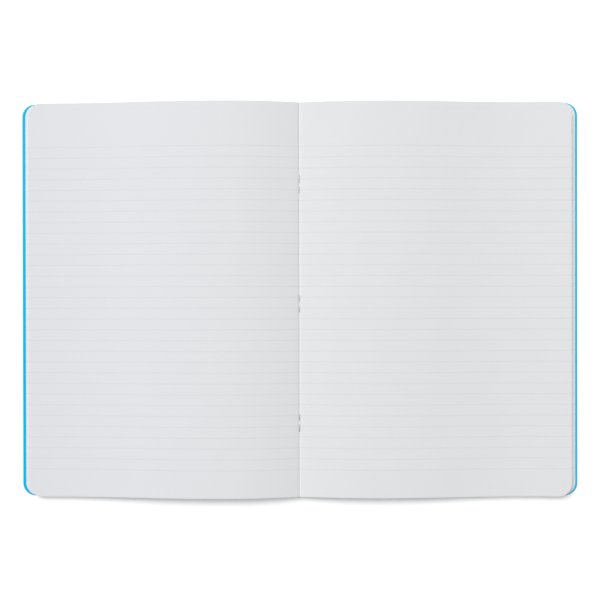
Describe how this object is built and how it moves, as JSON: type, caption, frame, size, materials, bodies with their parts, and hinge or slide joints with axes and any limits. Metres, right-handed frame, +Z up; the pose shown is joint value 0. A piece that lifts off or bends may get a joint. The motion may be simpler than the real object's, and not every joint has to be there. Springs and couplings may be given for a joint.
{
  "type": "composition notebook",
  "caption": "Open stapled composition notebook lying flat, with a folded card cover, rounded corners, arched ruled pages and wire staples in the fold.",
  "frame": {"origin": "on the fold, half way up the book, on the table plane under the open book", "axes": "+X across the pages towards the right fore-edge, +Y up the page towards its head, +Z up off the table"},
  "size_m": [0.364, 0.257, 0.0075],
  "materials": {
    "cover_card": "matte cyan card",
    "page_paper": "uncoated white writing paper with faint grey ruling",
    "staple_wire": "bright drawn wire"
  },
  "bodies": {
    "back_half": {"back_cover": "cover_card", "back_pages": "page_paper"},
    "front_half": {"front_cover": "cover_card", "front_pages": "page_paper"},
    "spine": {"staple_top": "staple_wire", "staple_middle": "staple_wire", "staple_bottom": "staple_wire"}
  },
  "joints": [
    {"name": "front_cover_fold", "type": "hinge", "parent": "back_half", "child": "front_half", "pos_m": [0, 0, 0.0041], "axis": [0, 1, 0], "range_deg": [0, 170]},
    {"name": "spine_turn", "type": "hinge", "parent": "back_half", "child": "spine", "pos_m": [0, 0, 0.0041], "axis": [0, 1, 0], "range_deg": [0, 85]}
  ],
  "couplings": [
    {"joint": "spine_turn", "follows": "front_cover_fold", "ratio": 0.5}
  ]
}
